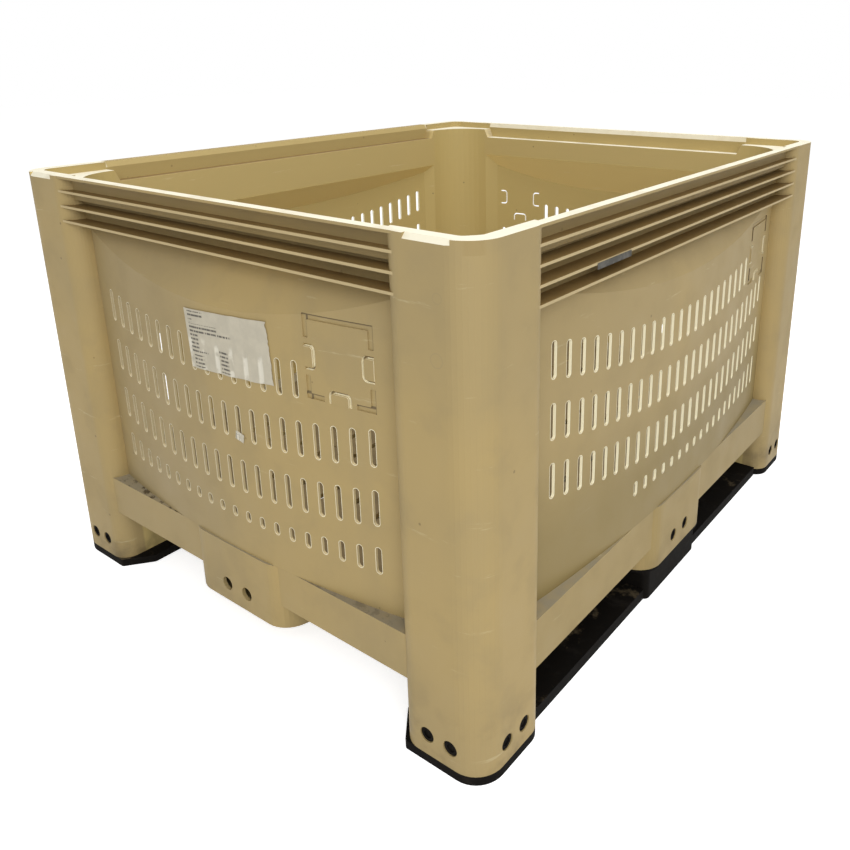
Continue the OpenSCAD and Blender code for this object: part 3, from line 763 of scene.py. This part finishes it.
@dataclass(frozen=True)
class LabelPaper:
    """Wrinkled off-white paper with rows of blank print bars, paler over the slots behind it."""

    name: str
    paper: Colour = (0.525, 0.48, 0.375)
    bright: Colour = (0.80, 0.76, 0.64)
    ink: Colour = (0.06, 0.055, 0.05)
    cloudy: float = 1.12
    cloud_deep: float = 0.0012
    fibre_deep: float = 0.0002
    slot_shares: Span = (0.20, 0.11)
    slot_z: Span = (0.545, 0.532)
    rows: float = 15.0
    dashes: float = 85.0
    row_shift: float = 7.3
    soft_left: float = 0.004
    soft_right: float = 0.012
    soft_ends: float = 0.003
    block_shares: Tuple[Tuple[float, float, float, float], ...] = (
        (0.04, 0.24, 0.86, 0.97), (0.04, 0.09, 0.78, 0.84), (0.04, 0.40, 0.60, 0.76),
        (0.40, 0.56, 0.60, 0.66), (0.04, 0.14, 0.30, 0.59), (0.04, 0.25, 0.26, 0.31),
        (0.06, 0.18, 0.03, 0.24), (0.40, 0.50, 0.03, 0.40))

    def material(self) -> Material:
        """Builds the finish.

        Returns:
            The material.
        """
        sheet = ShaderSheet(self.name, self.paper)
        fibre = sheet.grain(900.0, 2.0)
        cloud = sheet.grain(38.0, 4.0, 0.6)
        pale = tuple(self.cloudy * c for c in self.paper)
        sheet.paint(sheet.step(cloud, 0.35, 0.70), pale)
        self._slots(sheet)
        self._print(sheet)
        sheet.coat(0.72, 0.25)
        sheet.relief(((fibre, 0.15, self.fibre_deep), (cloud, 0.30, self.cloud_deep)))
        return sheet.material

    def _slots(self, sheet: ShaderSheet) -> None:
        """Pale upright bands where the paper lies over a slot.

        Args:
            sheet: the material.
        """
        share = sheet.math("FRACT", sheet.math("DIVIDE", sheet.place(0), SLOT_PITCH))
        strip = sheet.step(sheet.off(share, 0.5), *self.slot_shares)
        broken = sheet.step(sheet.grain(55.0, 3.0, offset=(2.0, 0.0, 1.0)), 0.36, 0.56)
        band = sheet.both(strip, sheet.step(sheet.place(2), *self.slot_z), broken)
        sheet.paint(band, self.bright, 0.75)

    def _print(self, sheet: ShaderSheet) -> None:
        """Rows of short ink bars in two columns, with no letters in them.

        Args:
            sheet: the material.
        """
        m = sheet.math
        u, v, _ = sheet.split(sheet.coords.outputs["UV"])
        line = m("FRACT", m("MULTIPLY", v, self.rows))
        row = m("FLOOR", m("MULTIPLY", v, self.rows))
        bar = sheet.both(sheet.step(line, 0.22, 0.34), sheet.step(line, 0.82, 0.70))
        dash = sheet.tree.nodes.new("ShaderNodeTexNoise")
        dash.inputs["Scale"].default_value = 1.0
        dash.inputs["Detail"].default_value = 1.0
        where = sheet.tree.nodes.new("ShaderNodeCombineXYZ")
        sheet.link(m("MULTIPLY", u, self.dashes), where.inputs[0])
        sheet.link(m("MULTIPLY", row, self.row_shift), where.inputs[1])
        sheet.link(where.outputs[0], dash.inputs["Vector"])
        gaps = sheet.step(dash.outputs["Fac"], 0.38, 0.46)
        mask = None
        for u0, u1, v0, v1 in self.block_shares:
            wide = sheet.window(u, u0, u1, self.soft_left, self.soft_right)
            part = sheet.both(wide, sheet.window(v, v0, v1, self.soft_ends, self.soft_ends))
            mask = part if mask is None else m("MAXIMUM", mask, part)
        sheet.paint(sheet.both(mask, bar, gaps), self.ink, 0.85)


@dataclass(frozen=True)
class TagGrey:
    """Scuffed grey plastic strip."""

    name: str
    base: Colour = (0.085, 0.082, 0.072)
    pale_mark: Colour = (0.14, 0.133, 0.117)
    mottle_deep: float = 0.0004

    def material(self) -> Material:
        """Builds the finish.

        Returns:
            The material.
        """
        sheet = ShaderSheet(self.name, self.base)
        mottle = sheet.grain(80.0, 4.0)
        sheet.paint(sheet.step(mottle, 0.42, 0.68), self.pale_mark)
        sheet.coat(sheet.math("MULTIPLY_ADD", mottle, 0.4, 0.5), 0.15)
        sheet.relief(((mottle, 0.2, self.mottle_deep),))
        return sheet.material


@dataclass(frozen=True)
class StudioFloor:
    """Plain pale floor that shows near white and keeps the shadow."""

    name: str
    tone: Colour = (0.90, 0.90, 0.90)
    patchy: float = 0.985
    lift: float = 0.68

    def material(self) -> Material:
        """Builds the finish.

        Returns:
            The material.
        """
        sheet = ShaderSheet(self.name, self.tone)
        patch = tuple(self.patchy * c for c in self.tone)
        sheet.paint(sheet.grain(4.0, 2.0), patch)
        sheet.coat(0.9, 0.0)
        sheet.surface.inputs["Emission Color"].default_value = (1.0, 1.0, 1.0, 1.0)
        glow = sheet.both(sheet.seen(sheet.tree), self.lift)
        sheet.link(glow, sheet.surface.inputs["Emission Strength"])
        return sheet.material


class Bench:
    """Edit-mode steps shared by the pieces that are modelled here."""

    @staticmethod
    def clear() -> None:
        """Leaves edit mode and deselects everything."""
        if bpy.context.object is not None and bpy.context.object.mode != "OBJECT":
            bpy.ops.object.mode_set(mode="OBJECT")
        bpy.ops.object.select_all(action="DESELECT")

    @staticmethod
    def only(piece: Piece) -> None:
        """Makes a piece the one selected and active object.

        Args:
            piece: the object.
        """
        Bench.clear()
        piece.select_set(True)
        bpy.context.view_layer.objects.active = piece

    @staticmethod
    def select_faces(piece: Piece, normal: Vector, least: float = 0.9) -> None:
        """Selects, in edit mode, the faces that point along a normal.

        Args:
            piece: the object in edit mode.
            normal: the direction.
            least: smallest cosine that still counts.
        """
        bpy.ops.object.mode_set(mode="OBJECT")
        mesh = piece.data
        mesh.polygons.foreach_set("select", [p.normal.dot(normal) > least for p in mesh.polygons])
        bpy.ops.object.mode_set(mode="EDIT")

    @staticmethod
    def coat(piece: Piece, material: Material, angle: float = 24.0) -> None:
        """Gives an object its one material and smooths what turns less than an angle.

        Args:
            piece: the object.
            material: its finish.
            angle: smoothing angle in degrees.
        """
        piece.data.materials.clear()
        piece.data.materials.append(material)
        Bench.only(piece)
        bpy.ops.object.shade_smooth_by_angle(angle=math.radians(angle))
        log.info("piece %s: %s, %d faces", piece.name, material.name, len(piece.data.polygons))

    @staticmethod
    def finish(piece: Piece, material: Material, slot: str, angle: float = 35.0) -> None:
        """Clears a new piece's transform, gives it its finish and lets it ride.

        Args:
            piece: the finished object.
            material: its finish.
            slot: not used.
            angle: smoothing angle in degrees.
        """
        Bench.only(piece)
        bpy.ops.object.transform_apply(location=True, rotation=True, scale=True)
        Bench.coat(piece, material, angle)
        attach(piece, BODY)
        Bench.clear()


@dataclass
class BinShell:
    """The tan moulding: every post, rail, panel, sill, foot and floor piece keeps its CAD shape."""

    end_last: float = 0.3078
    end_card: float = 0.200
    side_last: float = 0.405
    side_card: float = 0.3015
    side_low: float = -0.185

    def dress(self, nodes: Dict[str, Piece]) -> None:
        """Gives each tan node its finish.

        Args:
            nodes: the frame's objects by node name.
        """
        finishes = {part: MouldedTan("tan_" + part.value, part).material()
                    for part in Part if part is not Part.PANEL}
        panels = self._panels()
        starts = (("wall_panel", Part.PANEL), ("post", Part.POST), ("top_rail", Part.RAIL),
                  ("rim", Part.RIM))
        for name, piece in sorted(nodes.items()):
            if name.startswith(("runner", "paper", "rib_tag")):
                continue
            part = next((found for start, found in starts if name.startswith(start)), Part.BODY)
            finish = panels[name] if part is Part.PANEL else finishes[part]
            Bench.coat(piece, finish)
        Bench.clear()

    def _panels(self) -> Dict[str, Material]:
        """Finishes of the four slotted walls.

        Returns:
            The materials by node name.
        """
        ends = (self.end_last, self.end_card)
        sides = (self.side_last, self.side_card, self.side_low)
        maps = {"front": SlotMap(0, 1.0, *ends), "rear": SlotMap(0, -1.0, *ends),
                "right": SlotMap(1, 1.0, *sides), "left": SlotMap(1, -1.0, *sides)}
        return {"wall_panel_" + word: MouldedTan("tan_panel_" + word, Part.PANEL, slots).material()
                for word, slots in maps.items()}


@dataclass
class RunnerSet:
    """The two black runners and the locking studs that show in the foot holes."""

    stud_sides: int = 32
    stud_r: float = 0.0115
    stud_sunk: float = 0.0015
    stud_len: float = 0.0050
    stud_round: float = 0.0008
    dish_rim: float = 0.0042
    dish_deep: float = 0.0022
    dish_ring: float = 0.0012
    first_hole: float = 0.056
    hole_pitch: float = 0.041
    post_hole_z: float = 0.048
    foot_pitch: float = 0.050
    foot_hole_z: float = 0.0995
    foot_inset: float = 0.0015
    finish: RunnerBlack = field(default_factory=lambda: RunnerBlack("runner_black"))
    stud_finish: RunnerBlack = field(default_factory=lambda: RunnerBlack("stud_black", dusty=False))

    def dress(self, nodes: Dict[str, Piece]) -> None:
        """Gives the runners their finish and builds the studs.

        Args:
            nodes: the frame's objects by node name.
        """
        black = self.finish.material()
        for name in ("runner_left", "runner_right"):
            Bench.coat(nodes[name], black)
        stud_black = self.stud_finish.material()
        for sign, word in ((1, "right"), (-1, "left")):
            group = self._group(sign, "locking_studs_" + word)
            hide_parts("runner_studs_" + word)
            Bench.finish(group, stud_black, "black_plastic")

    def _stud(self) -> Piece:
        """Models one stud on the Z axis, its dished end up at the origin.

        Returns:
            The stud.
        """
        Bench.clear()
        bpy.ops.mesh.primitive_cylinder_add(vertices=self.stud_sides, radius=self.stud_r,
                                            depth=self.stud_len, location=(0.0, 0.0, -self.stud_len / 2))
        stud = bpy.context.object
        bpy.ops.object.transform_apply(location=True, rotation=True, scale=True)
        bpy.ops.object.mode_set(mode="EDIT")
        bpy.ops.mesh.select_mode(type="FACE")
        Bench.select_faces(stud, Vector((0, 0, 1)))
        bpy.ops.mesh.bevel(offset=self.stud_round, segments=2, affect="EDGES")
        Bench.select_faces(stud, Vector((0, 0, 1)), 0.99)
        bpy.ops.mesh.inset(thickness=self.dish_rim)
        bpy.ops.mesh.extrude_region_move(TRANSFORM_OT_translate={"value": (0.0, 0.0, -self.dish_deep)})
        bpy.ops.mesh.inset(thickness=self.dish_ring)
        bpy.ops.object.mode_set(mode="OBJECT")
        return stud

    def _group(self, sign: int, name: str) -> Piece:
        """Copies the stud to every hole of one runner and joins the copies.

        Args:
            sign: 1 for the right runner, -1 for the left.
            name: name of the joined piece.

        Returns:
            The group as one object.
        """
        outward = Vector((sign, 0.0, 0.0))
        side = sign * (HALF_W - self.stud_sunk)
        foot = sign * (HALF_W - self.foot_inset - self.stud_sunk)
        places: List[Tuple[Vector, Vector]] = []
        for end in (-1, 1):
            for i in (0, 1):
                step = self.first_hole + i * self.hole_pitch
                on_side = Vector((side, end * (HALF_D - step), self.post_hole_z))
                on_end = Vector((sign * (HALF_W - step), end * (HALF_D - self.stud_sunk), self.post_hole_z))
                places.append((on_side, outward))
                places.append((on_end, Vector((0.0, end, 0.0))))
            places.append((Vector((foot, end * self.foot_pitch / 2, self.foot_hole_z)), outward))
        model = self._stud()
        copies = []
        for spot, facing in places:
            copy = model.copy()
            copy.data = model.data.copy()
            bpy.context.scene.collection.objects.link(copy)
            turn = facing.to_track_quat("Z", "Y").to_matrix().to_4x4()
            copy.matrix_world = Matrix.Translation(spot) @ turn
            copies.append(copy)
        bpy.data.objects.remove(model)
        Bench.clear()
        for copy in copies:
            copy.select_set(True)
        bpy.context.view_layer.objects.active = copies[0]
        bpy.ops.object.transform_apply(location=True, rotation=True, scale=True)
        bpy.ops.object.join()
        copies[0].name = name
        return copies[0]


@dataclass(frozen=True)
class PaperCut:
    """Size, place and tear of one piece of paper, in metres and radians."""

    name: str
    width: float
    height: float
    x: float
    z: float
    tilt: float
    columns: int
    rows: int
    tear_share: float


@dataclass
class PaperLabel:
    """Torn paper label pasted on the bowed front panel, and the scrap below it."""

    cuts: Tuple[PaperCut, PaperCut] = (
        PaperCut("torn_label", 0.191, 0.095, 0.041, 0.542, math.radians(3.6), 110, 56, 0.028),
        PaperCut("label_scrap", 0.020, 0.014, 0.0505, 0.3975, math.radians(-12.0), 14, 9, 0.16))
    thickness: float = 0.0004
    lift: float = 0.0006
    wrinkle: float = 0.0006
    sag: float = 0.0005
    sag_top: float = 0.540
    sag_share: float = 0.16
    torn_share: float = 0.1
    torn_waves: float = 17.0
    wave_share: float = 0.012
    waves: float = 7.0
    upper_share: float = 0.4
    creases: Span = (70.0, 26.0)
    pressed_share: float = 0.4
    smooth: float = 60.0
    crown: float = 0.004
    recess: float = 0.036
    panel_half: float = 0.360
    finish: LabelPaper = field(default_factory=lambda: LabelPaper("label_paper"))

    @property
    def bow_r(self) -> float:
        """Radius of the front panel's bow."""
        rise = self.recess - self.crown
        return (self.panel_half ** 2 + rise ** 2) / (2 * rise)

    def skin_y(self, x: float) -> float:
        """Y of the front panel's outer face at x."""
        return -HALF_D + self.crown + self.bow_r - math.sqrt(self.bow_r ** 2 - x ** 2)

    def build(self) -> None:
        """Models the label and the scrap and puts them on the panel."""
        paper = self.finish.material()
        label, scrap = (self._sheet(cut) for cut in self.cuts)
        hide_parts("paper_label")
        for piece in (label, scrap):
            Bench.finish(piece, paper, "paper", self.smooth)

    def _sheet(self, cut: PaperCut) -> Piece:
        """Models one piece of paper that follows the bow.

        Args:
            cut: its size, place and tear.

        Returns:
            The piece.
        """
        Bench.clear()
        bpy.ops.mesh.primitive_grid_add(x_subdivisions=cut.columns, y_subdivisions=cut.rows, size=1.0,
                                        calc_uvs=True)
        piece = bpy.context.object
        piece.name = cut.name
        bpy.ops.object.mode_set(mode="EDIT")
        bpy.ops.mesh.select_all(action="SELECT")
        bpy.ops.transform.resize(value=(cut.width, cut.height, 1.0))
        bpy.ops.object.mode_set(mode="OBJECT")
        turn = Matrix.Rotation(cut.tilt, 2)
        for vertex in piece.data.vertices:
            u, v = vertex.co.x / cut.width + 0.5, vertex.co.y / cut.height + 0.5
            flat = turn @ self._torn(cut, u, v, vertex.co)
            x, z = cut.x + flat.x, cut.z + flat.y
            vertex.co = Vector((x, self.skin_y(x) - self._stand_off(x, z, v), z))
        Bench.only(piece)
        wall = piece.modifiers.new("paper_wall", "SOLIDIFY")
        wall.thickness = self.thickness
        wall.offset = 0.0
        bpy.ops.object.modifier_apply(modifier=wall.name)
        return piece

    def _torn(self, cut: PaperCut, u: float, v: float, flat: Vector) -> Vector:
        """Moves a point of the flat sheet by its torn right edge and its wavy upper and lower ones.

        Args:
            cut: the sheet.
            u: share of the width, from the left.
            v: share of the height, from below.
            flat: the point.

        Returns:
            The moved point, across and up.
        """
        ragged = 0.5 + 0.5 * noise.noise(Vector((3.7, v * self.torn_waves, 0.6)))
        near = max(0.0, (u - 1.0 + self.torn_share) / self.torn_share)
        wave = noise.noise(Vector((u * self.waves, 1.3, 2.0))) * (1.0 if v < 0.5 else self.upper_share)
        across = flat.x - cut.width * cut.tear_share * ragged * near
        return Vector((across, flat.y + cut.height * self.wave_share * wave))

    def _stand_off(self, x: float, z: float, v: float) -> float:
        """How far the wrinkled paper stands off the panel, less where it sags into a slot.

        Args:
            x: place across.
            z: place up.
            v: share of the sheet's height, from below.

        Returns:
            The distance in metres.
        """
        across, up = self.creases
        crease = noise.fractal(Vector((x * across, 4.0, z * up)), 1.0, 2.0, 3)
        off = abs(x / SLOT_PITCH - math.floor(x / SLOT_PITCH) - 0.5)
        dip = self.sag * max(0.0, 1.0 - (off / self.sag_share) ** 2) if z < self.sag_top else 0.0
        loose = 1.0 - self.pressed_share * (1.0 - v)
        return self.lift + self.wrinkle * (0.5 + 0.5 * crease) * loose + self.sag - dip


@dataclass
class RibTag:
    """Grey strip that hangs on the edge of the third rib of the right rail."""

    inset: float = 0.0010
    edge_r: float = 0.0004
    sunk: float = 0.0003
    finish: TagGrey = field(default_factory=lambda: TagGrey("tag_grey"))

    def build(self) -> None:
        """Models the strip over its CAD node, with softened edges and a sunk middle."""
        low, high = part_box("rib_tag")
        Bench.clear()
        bpy.ops.mesh.primitive_cube_add(size=1.0)
        tag = bpy.context.object
        tag.name = "grey_tag"
        bpy.ops.object.mode_set(mode="EDIT")
        bpy.ops.mesh.select_all(action="SELECT")
        bpy.ops.transform.resize(value=tuple(high - low))
        bpy.ops.transform.translate(value=tuple((low + high) / 2))
        bpy.ops.mesh.bevel(offset=self.edge_r, segments=2, affect="EDGES")
        bpy.ops.mesh.select_mode(type="FACE")
        Bench.select_faces(tag, Vector((1, 0, 0)), 0.99)
        bpy.ops.mesh.inset(thickness=self.inset)
        bpy.ops.transform.translate(value=(-self.sunk, 0.0, 0.0))
        bpy.ops.object.mode_set(mode="OBJECT")
        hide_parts("rib_tag")
        Bench.finish(tag, self.finish.material(), "tag")


@dataclass
class PhotoCamera:
    """Camera at the photograph's place and angle."""

    place: Triple = (1.03013, -1.28830, 0.95437)
    turn: Triple = (1.261628, 0.008435, 0.643441)
    sensor: float = 36.0
    lens: float = 35.053
    shift: Span = (-0.07059, -0.13266)

    def build(self) -> None:
        """Makes the camera and sets it as the scene's own."""
        data = bpy.data.cameras.new("photo_camera")
        data.sensor_width = self.sensor
        data.lens = self.lens
        data.shift_x, data.shift_y = self.shift
        data.dof.use_dof = False
        camera = bpy.data.objects.new("photo_camera", data)
        camera.location = self.place
        camera.rotation_euler = Euler(self.turn, "XYZ")
        bpy.context.scene.collection.objects.link(camera)
        bpy.context.scene.camera = camera
        log.info("camera at %s", self.place)


@dataclass(frozen=True)
class Lamp:
    """One square area lamp aimed at a point, in metres and watts."""

    name: str
    place: Triple
    target: Triple
    size: float
    power: float

    def build(self) -> None:
        """Makes the lamp."""
        data = bpy.data.lights.new(self.name, "AREA")
        data.shape = "SQUARE"
        data.size = self.size
        data.energy = self.power
        lamp = bpy.data.objects.new(self.name, data)
        lamp.location = self.place
        aim = Vector(self.target) - Vector(self.place)
        lamp.rotation_euler = aim.to_track_quat("-Z", "Y").to_euler()
        bpy.context.scene.collection.objects.link(lamp)
        log.info("lamp %s: %.0f W", self.name, self.power)


@dataclass
class Studio:
    """Pale floor, white surroundings and soft lamps."""

    floor_size: float = 30.0
    ambient: float = 0.36
    lamps: Tuple[Lamp, ...] = (Lamp("overhead", (0.2, 0.3, 3.4), (0.0, 0.0, 0.3), 3.2, 70.0),
                               Lamp("key", (2.8, -3.0, 2.7), (0.0, 0.0, 0.4), 2.4, 100.0))
    finish: StudioFloor = field(default_factory=lambda: StudioFloor("studio_floor"))

    def build(self) -> None:
        """Makes the floor, the world and the lamps."""
        Bench.clear()
        bpy.ops.mesh.primitive_plane_add(size=self.floor_size)
        floor = bpy.context.object
        floor.name = "studio_floor"
        floor.data.materials.append(self.finish.material())
        self._world()
        for lamp in self.lamps:
            lamp.build()
        Bench.clear()

    def _world(self) -> None:
        """White to the eye, softer as light."""
        world = bpy.data.worlds.new("studio_world")
        world.use_nodes = True
        tree = world.node_tree
        tree.nodes.clear()
        output = tree.nodes.new("ShaderNodeOutputWorld")
        ground = tree.nodes.new("ShaderNodeBackground")
        ground.inputs["Color"].default_value = (1.0, 1.0, 1.0, 1.0)
        level = tree.nodes.new("ShaderNodeMapRange")
        level.inputs["To Min"].default_value = self.ambient
        level.inputs["To Max"].default_value = 1.0
        tree.links.new(ShaderSheet.seen(tree), level.inputs["Value"])
        tree.links.new(level.outputs["Result"], ground.inputs["Strength"])
        tree.links.new(ground.outputs[0], output.inputs["Surface"])
        bpy.context.scene.world = world


def main() -> None:
    """Builds the scene in order."""
    logging.basicConfig(level=logging.INFO, format="%(name)s: %(message)s")
    bpy.context.scene.view_settings.view_transform = "Standard"
    PhotoCamera().build()
    Studio().build()
    nodes = frame["nodes"]
    BinShell().dress(nodes)
    RunnerSet().dress(nodes)
    PaperLabel().build()
    RibTag().build()


if __name__ == "__main__":
    main()
